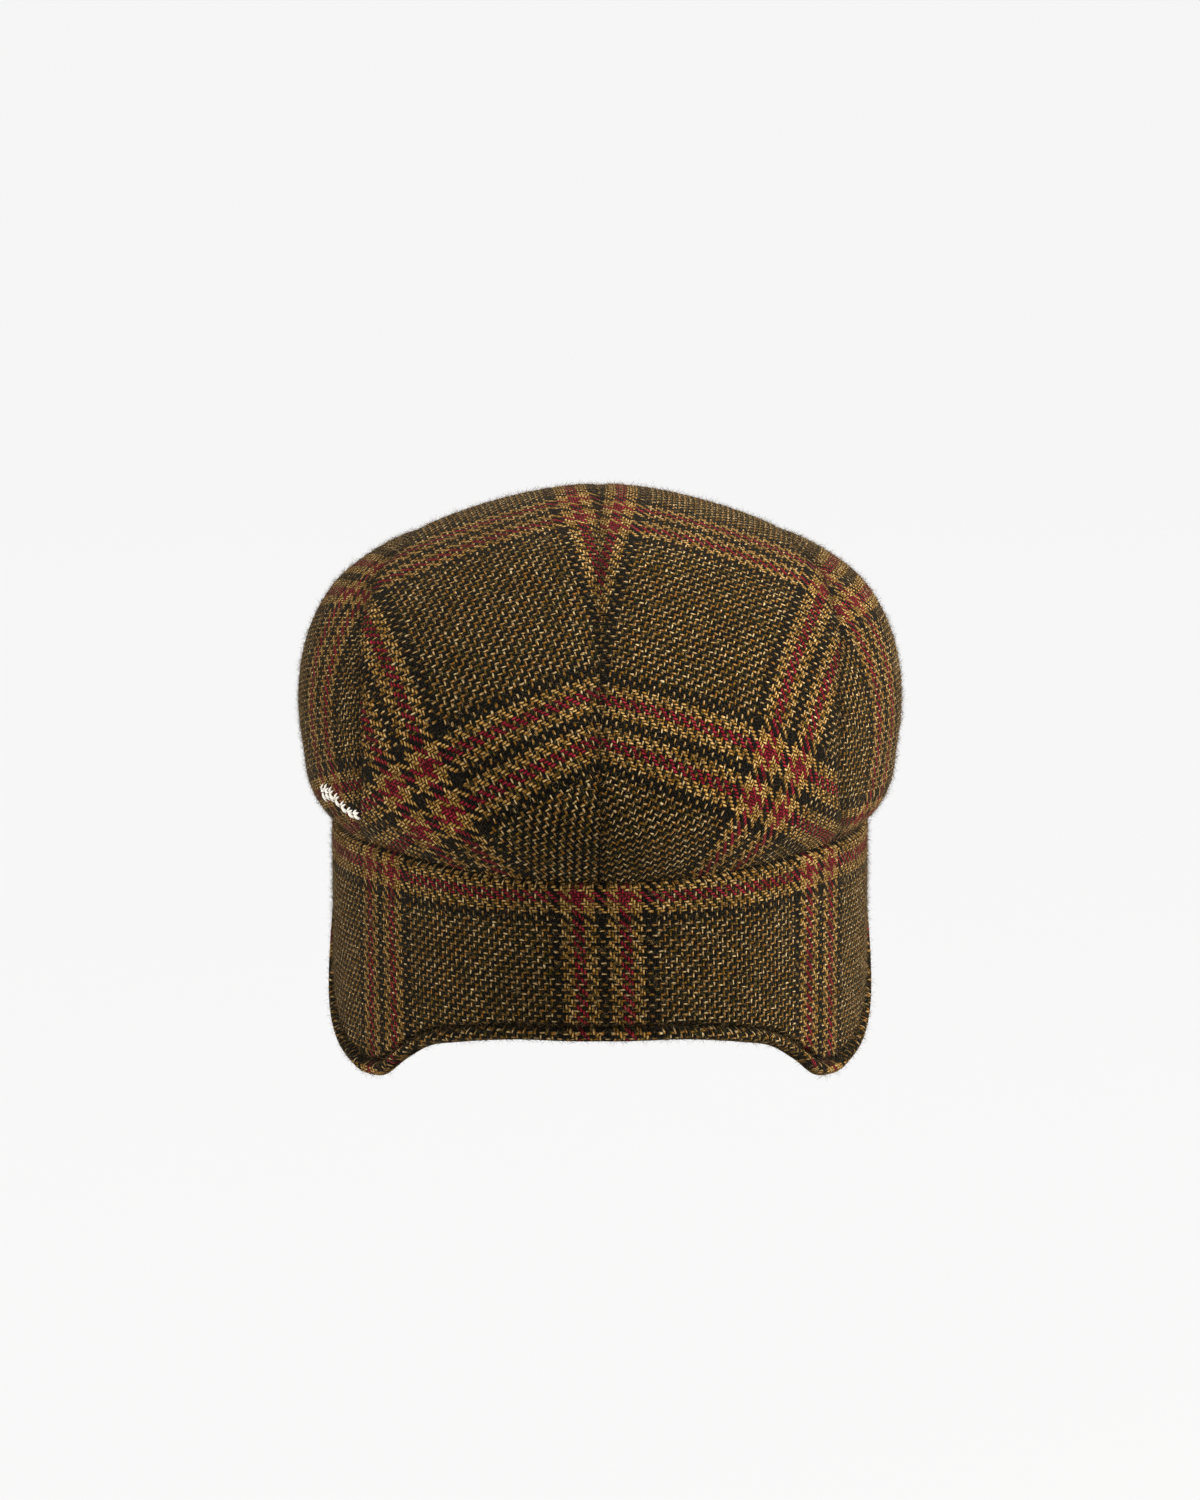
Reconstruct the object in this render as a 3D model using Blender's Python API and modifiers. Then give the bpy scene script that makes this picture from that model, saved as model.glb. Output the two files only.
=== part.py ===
"""Flat cap with a turned-down neck and ear flap.

Metres, +Z up. The origin is the middle of the head opening, level with the seam between crown and flap.
+Y points to the peak and +X to the wearer's right.

The crown is one smooth dome. A place on it is a point of a flat disk: the disk's middle is the summit and
its edge is the crown's rim. The turn goes from 0 at the back over 90 degrees at +X to 180 at the front.
"""

import math

import bmesh
import bpy
import numpy as np

# The head opening, measured on the outside of the cloth
BAND_HALF_WIDTH = 0.083
BAND_REAR = 0.110
BAND_FRONT = 0.098
RIM_SIDE_DROP = 0.007  # how far the crown's rim comes down over the ears

# The crown
CROWN_HEIGHT = 0.0965
SUMMIT_BACK = 0.010  # how far behind the origin the summit lies
CROWN_WALL = 0.002
SEAM_DIP = 0.0009  # how deep a seam draws the cloth in
SEAM_DIP_REACH = 0.0045

# The flap
FLAP_WALL = 0.0035
FLAP_LOBE_DROP = 0.0765  # how far the lowest point hangs below the seam
FLAP_END_TURN = 110.0  # degrees from the back, where the flap stops and the peak starts
FLAP_TUCK = 10.0  # degrees that the flap leans in under the back of the head

# The peak
PEAK_LENGTH = 0.052
PEAK_CORNER = 0.003  # its length at the two corners
PEAK_WALL = 0.004
PEAK_SLOPE_MIDDLE = 12.0  # degrees down from level
PEAK_SLOPE_SIDE = 28.0
CROWN_OVER_PEAK = 0.5  # share of the peak's length that the crown covers

GAP = 0.0003  # between neighbouring pieces

# How finely each piece is divided
SEAM_STEPS = 34
TOP_STEPS = 11
SIDE_STEPS = 9
FLAP_STEPS_ROUND = 72
FLAP_STEPS_DOWN = 7
PEAK_STEPS_ROUND = 40
PEAK_STEPS_OUT = 6

# Three lines from the summit to the rim. share is how far along the line a row lies, reach is a share of
# the band's reach that way, height a share of CROWN_HEIGHT.
BACK_LINE = (
    # share, reach, height
    (0.000, 0.000, 1.000),
    (0.105, 0.164, 0.982),
    (0.290, 0.445, 0.900),
    (0.435, 0.630, 0.767),
    (0.635, 0.870, 0.549),
    (0.765, 0.997, 0.373),
    (0.880, 1.048, 0.187),
    (1.000, 1.000, 0.000),
)
SIDE_LINE = (
    # share, reach, height
    (0.000, 0.000, 1.000),
    (0.185, 0.355, 0.936),
    (0.381, 0.711, 0.826),
    (0.475, 0.870, 0.756),
    (0.550, 0.988, 0.674),
    (0.625, 1.067, 0.565),
    (0.696, 1.108, 0.450),
    (0.763, 1.120, 0.336),
    (0.842, 1.106, 0.213),
    (0.925, 1.078, 0.090),
    (1.000, 1.000, 0.000),
)
FRONT_LINE = (
    # share, reach, height
    (0.000, 0.000, 1.000),
    (0.107, 0.193, 0.976),
    (0.300, 0.518, 0.868),
    (0.487, 0.769, 0.698),
    (0.655, 0.948, 0.509),
    (0.800, 1.055, 0.316),
    (0.905, 1.073, 0.145),
    (1.000, 1.000, 0.000),
)

# The seam between top and side panel on the +X half
SIDE_SEAM = (
    # share of its length, turn in degrees, share of the way from summit to rim
    (0.000, 60.0, 1.000),
    (0.070, 52.6, 0.889),
    (0.157, 50.9, 0.731),
    (0.203, 52.7, 0.656),
    (0.261, 58.8, 0.577),
    (0.306, 64.6, 0.518),
    (0.357, 73.9, 0.467),
    (0.425, 86.5, 0.395),
    (0.517, 108.0, 0.385),
    (0.614, 129.0, 0.460),
    (0.727, 142.0, 0.620),
    (0.864, 149.0, 0.820),
    (1.000, 152.0, 1.000),
)

# The flap's lower edge
FLAP_EDGE = (
    # share of the turn from the back to the flap's end, drop as a share of FLAP_LOBE_DROP
    (0.000, 0.675),
    (0.180, 0.690),
    (0.290, 0.725),
    (0.360, 0.795),
    (0.420, 0.865),
    (0.490, 0.955),
    (0.540, 0.972),
    (0.600, 0.945),
    (0.700, 0.870),
    (0.820, 0.700),
    (0.920, 0.420),
    (1.000, 0.160),
)


def read_rows(table, column, share):
    """A smooth curve through one column of a table, read at the given shares."""
    rows = np.array(table)
    at = rows[:, 0]
    value = rows[:, column]
    slope = np.gradient(value, at)
    share = np.clip(share, at[0], at[-1])
    low = np.clip(np.searchsorted(at, share, side="right") - 1, 0, len(at) - 2)
    step = at[low + 1] - at[low]
    t = (share - at[low]) / step
    return (
        value[low] * (1 + 2 * t) * (1 - t) ** 2
        + slope[low] * step * t * (1 - t) ** 2
        + value[low + 1] * t**2 * (3 - 2 * t)
        + slope[low + 1] * step * t**2 * (t - 1)
    )


def crown_line(table, share):
    """Reach and height along one line of the crown. The line goes straight on over the summit."""
    first = table[1]
    mirrored = ((-first[0], -first[1], first[2]),) + table
    return read_rows(mirrored, 1, share), read_rows(mirrored, 2, share)


def front_turn(turn):
    """0 over the peak's middle, 1 at its corners."""
    span = math.radians(180.0 - FLAP_END_TURN)
    return np.clip((math.pi - np.abs(turn)) / span, 0, 1)


def band_reach(turn):
    """Distance from the origin to the band's outside, for a turn of the front half."""
    return np.hypot(BAND_HALF_WIDTH * np.sin(turn), BAND_FRONT * np.cos(turn))


def peak_length(turn):
    out = np.clip(np.cos(0.5 * math.pi * front_turn(turn)), 0, 1) ** 0.75
    return PEAK_CORNER + (PEAK_LENGTH - PEAK_CORNER) * out


def rim_drop(turn):
    """How far the crown's rim lies below the back of the seam."""
    return RIM_SIDE_DROP * np.sin(turn) ** 8


def peak_drop(turn, out):
    """How far the peak's top lies below the back of the seam, at a distance out from the band."""
    slope = PEAK_SLOPE_MIDDLE + (PEAK_SLOPE_SIDE - PEAK_SLOPE_MIDDLE) * front_turn(turn) ** 2
    return rim_drop(turn) + GAP + out * np.tan(np.radians(slope))


def crown_overhang(turn):
    """How far the crown's rim lies in front of the band. It grows gently from nothing at the corners."""
    return CROWN_OVER_PEAK * PEAK_LENGTH * np.clip(np.cos(0.5 * math.pi * front_turn(turn)), 0, 1) ** 1.6


def crown_point(p, q):
    """The dome's outside at a disk point."""
    share = np.hypot(p, q)
    turn = np.arctan2(p, -q)
    back_reach, back_height = crown_line(BACK_LINE, share)
    side_reach, side_height = crown_line(SIDE_LINE, share)
    front_reach, front_height = crown_line(FRONT_LINE, share)
    behind = np.cos(turn) > 0
    along_reach = np.where(behind, BAND_REAR * back_reach, BAND_FRONT * front_reach)
    along_height = np.where(behind, back_height, front_height)
    overhang = crown_overhang(turn)
    spread = 1 + overhang / band_reach(turn) * share**2
    x = BAND_HALF_WIDTH * side_reach * np.sin(turn) * spread
    y = -SUMMIT_BACK * (1 - share) - along_reach * np.cos(turn) * spread
    height = along_height * np.cos(turn) ** 2 + side_height * np.sin(turn) ** 2
    sink = peak_drop(turn, overhang) - GAP
    z = CROWN_HEIGHT * height - sink * share**4
    return np.stack([x, y, z], axis=-1)


def crown_normal(p, q):
    """The dome's outward direction, from two small steps on the disk."""
    step = 0.004
    across = crown_point(p + step, q) - crown_point(p - step, q)
    along = crown_point(p, q + step) - crown_point(p, q - step)
    normal = np.cross(across, along)
    return normal / np.linalg.norm(normal, axis=-1, keepdims=True)


def seam_path(share):
    """Disk points along the side seam."""
    turn = np.radians(read_rows(SIDE_SEAM, 1, share))
    out = read_rows(SIDE_SEAM, 2, share)
    return np.stack([out * np.sin(turn), -out * np.cos(turn)], axis=-1)


def rim_path(turn):
    return np.stack([np.sin(turn), -np.cos(turn)], axis=-1)


def seam_turns():
    return math.radians(SIDE_SEAM[0][1]), math.radians(SIDE_SEAM[-1][1])


def half_gap():
    """Half the gap between two panels, on the disk."""
    return 0.5 * GAP / BAND_HALF_WIDTH


def seam_edge(side):
    """A panel's edge along the side seam: side is 1 for the side panel, -1 for the top panel."""
    path = seam_path(np.linspace(0, 1, SEAM_STEPS + 1))
    along = np.gradient(path, axis=0)
    across = np.stack([along[:, 1], -along[:, 0]], axis=-1)
    across /= np.linalg.norm(across, axis=1, keepdims=True)
    edge = path + side * half_gap() * across
    back, front = seam_turns()
    edge[0] = rim_path(back + side * half_gap())
    edge[-1] = rim_path(front - side * half_gap())
    return edge


def top_panel_disk():
    """A grid of disk points: across from the centre seam to the side seam, along from back to front."""
    back, front = seam_turns()
    across = np.linspace(0, 1, TOP_STEPS + 1)[:, None, None]
    along = np.linspace(0, 1, SEAM_STEPS + 1)[None, :, None]
    side = seam_edge(-1)
    centre = np.stack([np.full(SEAM_STEPS + 1, half_gap()), -1 + 2 * along[0, :, 0]], axis=-1)
    centre[0] = rim_path(half_gap())
    centre[-1] = rim_path(math.pi - half_gap())
    way = across[:, 0, 0]
    rear = rim_path(half_gap() + way * (back - 2 * half_gap()))
    fore = rim_path(math.pi - half_gap() - way * (math.pi - front - 2 * half_gap()))
    corners = (
        (1 - across) * (1 - along) * centre[0]
        + across * (1 - along) * side[0]
        + (1 - across) * along * centre[-1]
        + across * along * side[-1]
    )
    return (
        (1 - across) * centre[None]
        + across * side[None]
        + (1 - along) * rear[:, None]
        + along * fore[:, None]
        - corners
    )


def side_panel_disk():
    """A grid of disk points from the side seam out to the rim. Its two ends are points."""
    back, front = seam_turns()
    across = np.linspace(0, 1, SIDE_STEPS + 1)[:, None, None]
    along = np.linspace(0, 1, SEAM_STEPS + 1)
    rim = rim_path(back + half_gap() + along * (front - back - 2 * half_gap()))
    return (1 - across) * seam_edge(1)[None] + across * rim[None]


def seam_distance(p, q):
    """Distance in metres from disk points to the nearest seam, near enough for the dip beside it."""
    path = seam_path(np.linspace(0, 1, 4 * SEAM_STEPS + 1))
    gaps = np.hypot(p[..., None] - path[:, 0], q[..., None] - path[:, 1]).min(axis=-1)
    return BAND_HALF_WIDTH * np.minimum(gaps, np.abs(p))


def crown_surface(disk):
    p = disk[..., 0]
    q = disk[..., 1]
    dip = SEAM_DIP * np.exp(-((seam_distance(p, q) / SEAM_DIP_REACH) ** 2))
    near_rim = np.clip((1 - np.hypot(p, q)) / 0.1, 0, 1)
    return crown_point(p, q) - (dip * near_rim)[..., None] * crown_normal(p, q)


def flap_surface():
    """The flap's outside, from the seam down to its lower edge, round from one temple to the other."""
    end = math.radians(FLAP_END_TURN) - GAP / BAND_HALF_WIDTH
    turn = np.linspace(end, -end, FLAP_STEPS_ROUND + 1)[:, None]
    down = np.linspace(0, 1, FLAP_STEPS_DOWN + 1)[None]
    drop = FLAP_LOBE_DROP * read_rows(FLAP_EDGE, 1, np.abs(turn) / end) * down
    tuck = drop * math.tan(math.radians(FLAP_TUCK)) * np.clip(np.cos(turn), 0, 1) ** 2
    length = np.where(np.cos(turn) > 0, BAND_REAR, BAND_FRONT)
    x = BAND_HALF_WIDTH * np.sin(turn) * np.ones_like(drop)
    y = -length * np.cos(turn) + tuck
    return np.stack([x, y, -rim_drop(turn) - GAP - drop], axis=-1)


def peak_surface():
    """The peak's top, from the band out to its front edge, from corner to corner."""
    end = math.radians(FLAP_END_TURN)
    turn = np.linspace(2 * math.pi - end, end, PEAK_STEPS_ROUND + 1)[:, None]
    signed = np.where(turn > math.pi, turn - 2 * math.pi, turn)
    out = np.linspace(0, 1, PEAK_STEPS_OUT + 1)[None] * peak_length(signed)
    spread = 1 + out / band_reach(signed)
    x = BAND_HALF_WIDTH * np.sin(turn) * spread
    y = -BAND_FRONT * np.cos(turn) * spread
    return np.stack([x, y, -peak_drop(signed, out)], axis=-1)


def cloth(name, surface, wall, material, collection, mirrored=False):
    """A closed wall of cloth: a grid laid on the surface, thickened inwards."""
    rows, columns = surface.shape[:2]
    mesh = bmesh.new()
    bmesh.ops.create_grid(mesh, x_segments=rows - 1, y_segments=columns - 1, size=1)
    points = surface.transpose(1, 0, 2).reshape(-1, 3).copy()
    if mirrored:
        points[:, 0] *= -1
    mesh.verts.ensure_lookup_table()
    for vertex, point in zip(mesh.verts, points):
        vertex.co = point
    bmesh.ops.remove_doubles(mesh, verts=mesh.verts, dist=1e-6)
    if mirrored:
        bmesh.ops.reverse_faces(mesh, faces=mesh.faces)
    data = bpy.data.meshes.new(name)
    mesh.to_mesh(data)
    mesh.free()
    data.shade_smooth()
    data.materials.append(material)
    part = bpy.data.objects.new(name, data)
    thicken = part.modifiers.new("wall", "SOLIDIFY")
    thicken.thickness = wall
    thicken.offset = -1
    collection.objects.link(part)
    return part


def wool(name, colour):
    material = bpy.data.materials.new(name)
    material.use_nodes = True
    shader = material.node_tree.nodes["Principled BSDF"]
    shader.inputs["Base Color"].default_value = (*colour, 1)
    shader.inputs["Roughness"].default_value = 0.95
    shader.inputs["Metallic"].default_value = 0.0
    return material


def main():
    for old in list(bpy.data.objects):
        bpy.data.objects.remove(old)
    cap = bpy.data.collections.new("flat_cap")
    bpy.context.scene.collection.children.link(cap)
    top = crown_surface(top_panel_disk())
    side = crown_surface(side_panel_disk())
    cloth("crown_top_right", top, CROWN_WALL, wool("tweed_top_right", (0.060, 0.042, 0.022)), cap)
    cloth("crown_top_left", top, CROWN_WALL, wool("tweed_top_left", (0.060, 0.042, 0.022)), cap, True)
    cloth("crown_side_right", side, CROWN_WALL, wool("tweed_side_right", (0.058, 0.040, 0.021)), cap)
    cloth("crown_side_left", side, CROWN_WALL, wool("tweed_side_left", (0.058, 0.040, 0.021)), cap, True)
    cloth("ear_flap", flap_surface(), FLAP_WALL, wool("tweed_flap", (0.056, 0.039, 0.020)), cap)
    cloth("peak", peak_surface(), PEAK_WALL, wool("tweed_peak", (0.060, 0.042, 0.022)), cap)


main()
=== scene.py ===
"""Looks of the flat cap: tweed panels with a woven check, a stitched flap, a peak, loose wool and light.

The cap's own directions: +Y to the peak, +X to the wearer's right, +Z up. The photo is taken from behind.
"""

import math

import bpy
import numpy as np
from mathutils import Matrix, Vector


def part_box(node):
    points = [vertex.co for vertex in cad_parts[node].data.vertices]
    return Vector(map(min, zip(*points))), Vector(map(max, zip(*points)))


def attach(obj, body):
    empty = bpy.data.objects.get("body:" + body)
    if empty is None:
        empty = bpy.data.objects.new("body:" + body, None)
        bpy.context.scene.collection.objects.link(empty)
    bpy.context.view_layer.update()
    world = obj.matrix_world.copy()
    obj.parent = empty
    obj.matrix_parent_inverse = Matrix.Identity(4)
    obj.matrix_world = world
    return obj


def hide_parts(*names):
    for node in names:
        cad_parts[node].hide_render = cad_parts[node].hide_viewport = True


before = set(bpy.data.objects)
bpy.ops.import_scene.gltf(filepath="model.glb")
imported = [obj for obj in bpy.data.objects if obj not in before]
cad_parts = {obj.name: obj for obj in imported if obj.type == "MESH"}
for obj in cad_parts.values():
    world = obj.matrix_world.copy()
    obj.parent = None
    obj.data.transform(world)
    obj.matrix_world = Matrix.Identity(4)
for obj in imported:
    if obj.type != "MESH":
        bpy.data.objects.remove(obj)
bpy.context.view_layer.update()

# Sizes in metres, from the frame where it has them
flap_low, flap_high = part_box("ear_flap")
BAND_HALF_WIDTH = flap_high.x
BAND_REAR = -flap_low.y
BAND_FRONT = 0.098
RIM_SIDE_DROP = 0.007
SEAM_DIP_IN_FRAME = 0.0009
CROWN_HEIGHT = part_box("crown_top_right")[1].z + SEAM_DIP_IN_FRAME
SUMMIT_BACK = 0.010
CROWN_WALL = 0.002
FLAP_WALL = 0.0035
FLAP_LOBE_DROP = 0.0765
FLAP_END_TURN = 110.0
FLAP_TUCK = 10.0
PEAK_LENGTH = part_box("peak")[1].y - BAND_FRONT
PEAK_CORNER = 0.003
PEAK_WALL = 0.004
PEAK_SLOPE_MIDDLE = 12.0
PEAK_SLOPE_SIDE = 28.0
CROWN_OVER_PEAK = 0.5
GAP = 0.0003

# The seams' look, with painted shade along them
SEAM_GROOVE = 0.0004
SEAM_GROOVE_REACH = 0.0013
# Painted shade along the seams: how much the cloth's colour is darkened in their grooves
SEAM_SHADE = 0.7
SEAM_PULL = 0.0002
SEAM_PULL_REACH = 0.007
SEAM_SPOTS = 241  # places along the side seam that distances are taken from
RIM_TUCK_IN = 0.0020
RIM_TUCK_DOWN = 0.0006
RIM_TUCK_REACH = 0.0032
SUMMIT_TO_RIM = 0.16  # about, along the cloth

# The cloth
THREAD = 0.00087  # from one thread to the next
REPEAT = 96  # threads from one set of stripes to the next
STRIPE = 4  # threads in one stripe of a set
STRIPES = 9
MIDDLE_OF_STRIPES = STRIPE * STRIPES / 2
YARN_WANDER = 0.55  # threads that a yarn wanders to either side
HAIR_HEIGHT = 0.5  # share of a yarn's height that its loose hairs add

# Lines from the summit to the rim: share of the line, reach as a share of the band's, height as a share of
# CROWN_HEIGHT
BACK_LINE = (
    (0.000, 0.000, 1.000),
    (0.105, 0.164, 0.982),
    (0.290, 0.445, 0.900),
    (0.435, 0.630, 0.767),
    (0.635, 0.870, 0.549),
    (0.765, 0.997, 0.373),
    (0.880, 1.048, 0.187),
    (1.000, 1.000, 0.000),
)
SIDE_LINE = (
    (0.000, 0.000, 1.000),
    (0.185, 0.355, 0.936),
    (0.381, 0.711, 0.826),
    (0.475, 0.870, 0.756),
    (0.550, 0.988, 0.674),
    (0.625, 1.067, 0.565),
    (0.696, 1.108, 0.450),
    (0.763, 1.120, 0.336),
    (0.842, 1.106, 0.213),
    (0.925, 1.078, 0.090),
    (1.000, 1.000, 0.000),
)
FRONT_LINE = (
    (0.000, 0.000, 1.000),
    (0.107, 0.193, 0.976),
    (0.300, 0.518, 0.868),
    (0.487, 0.769, 0.698),
    (0.655, 0.948, 0.509),
    (0.800, 1.055, 0.316),
    (0.905, 1.073, 0.145),
    (1.000, 1.000, 0.000),
)
# The side seam: share of its length, turn in degrees from the back, share of the way from summit to rim
SIDE_SEAM = (
    (0.000, 60.0, 1.000),
    (0.070, 52.6, 0.889),
    (0.157, 50.9, 0.731),
    (0.203, 52.7, 0.656),
    (0.261, 58.8, 0.577),
    (0.306, 64.6, 0.518),
    (0.357, 73.9, 0.467),
    (0.425, 86.5, 0.395),
    (0.517, 108.0, 0.385),
    (0.614, 129.0, 0.460),
    (0.727, 142.0, 0.620),
    (0.864, 149.0, 0.820),
    (1.000, 152.0, 1.000),
)
# The flap's lower edge: share of the turn from the back to its end, drop as a share of FLAP_LOBE_DROP
FLAP_EDGE = (
    (0.000, 0.675),
    (0.180, 0.690),
    (0.290, 0.735),
    (0.360, 0.779),
    (0.420, 0.857),
    (0.490, 0.955),
    (0.540, 0.972),
    (0.600, 0.945),
    (0.700, 0.870),
    (0.820, 0.700),
    (0.920, 0.420),
    (1.000, 0.160),
)


# Curves


def read_rows(table, column, share):
    """A smooth curve through one column of a table: cubic pieces whose slope at a row is that of its
    neighbours."""
    rows = np.array(table)
    at = rows[:, 0]
    value = rows[:, column]
    slope = np.gradient(value, at)
    share = np.clip(share, at[0], at[-1])
    low = np.clip(np.searchsorted(at, share, side="right") - 1, 0, len(at) - 2)
    step = at[low + 1] - at[low]
    t = (share - at[low]) / step
    return (
        value[low] * (1 + 2 * t) * (1 - t) ** 2
        + slope[low] * step * t * (1 - t) ** 2
        + value[low + 1] * t**2 * (3 - 2 * t)
        + slope[low + 1] * step * t**2 * (t - 1)
    )


def crown_line(table, share):
    """Reach and height along one line of the crown, which goes straight on over the summit."""
    first = table[1]
    mirrored = ((-first[0], -first[1], first[2]),) + table
    return read_rows(mirrored, 1, share), read_rows(mirrored, 2, share)


def ease(x):
    """0 below 0, 1 above 1, and a smooth step between: 3x² - 2x³."""
    x = np.clip(x, 0, 1)
    return x * x * (3 - 2 * x)


# The form, as in the frame


def front_turn(turn):
    """0 over the peak's middle, 1 at its corners and behind them."""
    span = math.radians(180.0 - FLAP_END_TURN)
    return np.clip((math.pi - np.abs(turn)) / span, 0, 1)


def band_reach(turn):
    """Length of the arrow from the middle to the band, whose sides are the half width times the turn's sine
    and the front length times its cosine."""
    return np.hypot(BAND_HALF_WIDTH * np.sin(turn), BAND_FRONT * np.cos(turn))


def front_cosine(turn):
    """1 over the peak's middle and 0 at its corners: the cosine of a quarter turn times front_turn."""
    return np.clip(np.cos(0.5 * math.pi * front_turn(turn)), 0, 1)


def peak_length(turn):
    """From the corners' length to the middle's, by front_cosine to the power 0.75."""
    return PEAK_CORNER + (PEAK_LENGTH - PEAK_CORNER) * front_cosine(turn) ** 0.75


def rim_drop(turn):
    """The rim's depth below the back of the seam: the side drop times the sine's eighth power."""
    return RIM_SIDE_DROP * np.sin(turn) ** 8


def peak_drop(turn, out):
    """Depth of the peak's top at a distance out from the band: the rim's, and a slope that steepens from
    the middle to the corners."""
    slope = PEAK_SLOPE_MIDDLE + (PEAK_SLOPE_SIDE - PEAK_SLOPE_MIDDLE) * front_turn(turn) ** 2
    return rim_drop(turn) + GAP + out * np.tan(np.radians(slope))


def crown_overhang(turn):
    """How far the crown's rim lies out over the peak: a share of its length, by front_cosine to the power
    1.6."""
    return CROWN_OVER_PEAK * PEAK_LENGTH * front_cosine(turn) ** 1.6


def crown_point(p, q):
    """The dome at a disk point. The disk's radius is the share of the way from summit to rim, its angle
    the turn from the back. Reach and height are read from the back, side and front lines, and mixed by
    the squares of the turn's cosine and sine."""
    share = np.hypot(p, q)
    turn = np.arctan2(p, -q)
    back_reach, back_height = crown_line(BACK_LINE, share)
    side_reach, side_height = crown_line(SIDE_LINE, share)
    front_reach, front_height = crown_line(FRONT_LINE, share)
    behind = np.cos(turn) > 0
    along_reach = np.where(behind, BAND_REAR * back_reach, BAND_FRONT * front_reach)
    along_height = np.where(behind, back_height, front_height)
    overhang = crown_overhang(turn)
    spread = 1 + overhang / band_reach(turn) * share**2
    x = BAND_HALF_WIDTH * side_reach * np.sin(turn) * spread
    y = -SUMMIT_BACK * (1 - share) - along_reach * np.cos(turn) * spread
    height = along_height * np.cos(turn) ** 2 + side_height * np.sin(turn) ** 2
    sink = peak_drop(turn, overhang) - GAP
    z = CROWN_HEIGHT * height - sink * share**4
    return np.stack([x, y, z], axis=-1)


def crown_normal(p, q):
    """Outward direction: the cross product of two small steps on the disk."""
    step = 0.004
    across = crown_point(p + step, q) - crown_point(p - step, q)
    along = crown_point(p, q + step) - crown_point(p, q - step)
    normal = np.cross(across, along)
    return normal / np.linalg.norm(normal, axis=-1, keepdims=True)


def seam_path(share):
    """Disk points along the side seam, from the turns and shares in its table."""
    turn = np.radians(read_rows(SIDE_SEAM, 1, share))
    out = read_rows(SIDE_SEAM, 2, share)
    return np.stack([out * np.sin(turn), -out * np.cos(turn)], axis=-1)


def rim_path(turn):
    """Disk points on the rim: the turn's sine, and its cosine with the sign changed."""
    return np.stack([np.sin(turn), -np.cos(turn)], axis=-1)


SEAM_BACK_TURN = math.radians(SIDE_SEAM[0][1])
SEAM_FRONT_TURN = math.radians(SIDE_SEAM[-1][1])


def crowded(steps, crowding):
    """Shares from 0 to 1 that lie closer together at both ends: w less crowding times sin(2πw)/2π."""
    way = np.linspace(0, 1, steps + 1)
    return way - crowding * np.sin(2 * math.pi * way) / (2 * math.pi)


ACROSS_CROWDING = 0.8
ALONG_CROWDING = 0.65


def seam_edge(steps):
    """A panel's edge on the disk along the side seam."""
    edge = seam_path(crowded(steps, ALONG_CROWDING))
    edge[0] = rim_path(SEAM_BACK_TURN)
    edge[-1] = rim_path(SEAM_FRONT_TURN)
    return edge


def top_panel_disk(across_steps, along_steps):
    """Disk points of a top panel: a blend of its four edges (centre seam, side seam, rear and front rim)
    less the blend of its four corners."""
    way = crowded(across_steps, ACROSS_CROWDING)
    across = way[:, None, None]
    along = crowded(along_steps, ALONG_CROWDING)[None, :, None]
    side = seam_edge(along_steps)
    centre = np.stack([np.zeros(along_steps + 1), -1 + 2 * along[0, :, 0]], axis=-1)
    rear = rim_path(way * SEAM_BACK_TURN)
    fore = rim_path(math.pi - way * (math.pi - SEAM_FRONT_TURN))
    corners = (
        (1 - across) * (1 - along) * centre[0]
        + across * (1 - along) * side[0]
        + (1 - across) * along * centre[-1]
        + across * along * side[-1]
    )
    return (
        (1 - across) * centre[None]
        + across * side[None]
        + (1 - along) * rear[:, None]
        + along * fore[:, None]
        - corners
    )


def side_panel_disk(across_steps, along_steps):
    """Disk points of a side panel: straight lines from the side seam out to the rim."""
    across = crowded(across_steps, ACROSS_CROWDING)[:, None, None]
    along = crowded(along_steps, ALONG_CROWDING)
    rim = rim_path(SEAM_BACK_TURN + along * (SEAM_FRONT_TURN - SEAM_BACK_TURN))
    return (1 - across) * seam_edge(along_steps)[None] + across * rim[None]


def seam_distance(p, q):
    """Metres from disk points to the nearest seam, near enough for the relief beside it."""
    path = seam_path(np.linspace(0, 1, SEAM_SPOTS))
    away = np.full(p.shape, np.inf)
    for spot in path:
        away = np.minimum(away, np.hypot(p - spot[0], q - spot[1]))
    return BAND_HALF_WIDTH * np.minimum(away, np.abs(p))


def crown_surface(disk):
    """The crown's cloth: the dome, drawn in along its seams by a narrow groove and a wide pull, and drawn
    in and down at the rim, where it meets the flap. Each fades as exp(-x²), x the distance over a reach."""
    p = disk[..., 0]
    q = disk[..., 1]
    away = seam_distance(p, q)
    place = crown_point(p, q)
    share = np.hypot(p, q)
    rim_away = (1 - share) * SUMMIT_TO_RIM
    at_rim = np.exp(-((rim_away / RIM_TUCK_REACH) ** 2))
    groove = SEAM_GROOVE * np.exp(-((away / SEAM_GROOVE_REACH) ** 2))
    pull = SEAM_PULL * np.exp(-((away / SEAM_PULL_REACH) ** 2))
    inward = (groove + pull) * (1 - at_rim)
    place = place - inward[..., None] * crown_normal(p, q)
    level = np.stack([p, q, np.zeros_like(p)], axis=-1) / np.maximum(share, 1e-9)[..., None]
    down = np.array([0.0, 0.0, 1.0])
    return place - at_rim[..., None] * (RIM_TUCK_IN * level + RIM_TUCK_DOWN * down)


# The cloth laid flat


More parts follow.
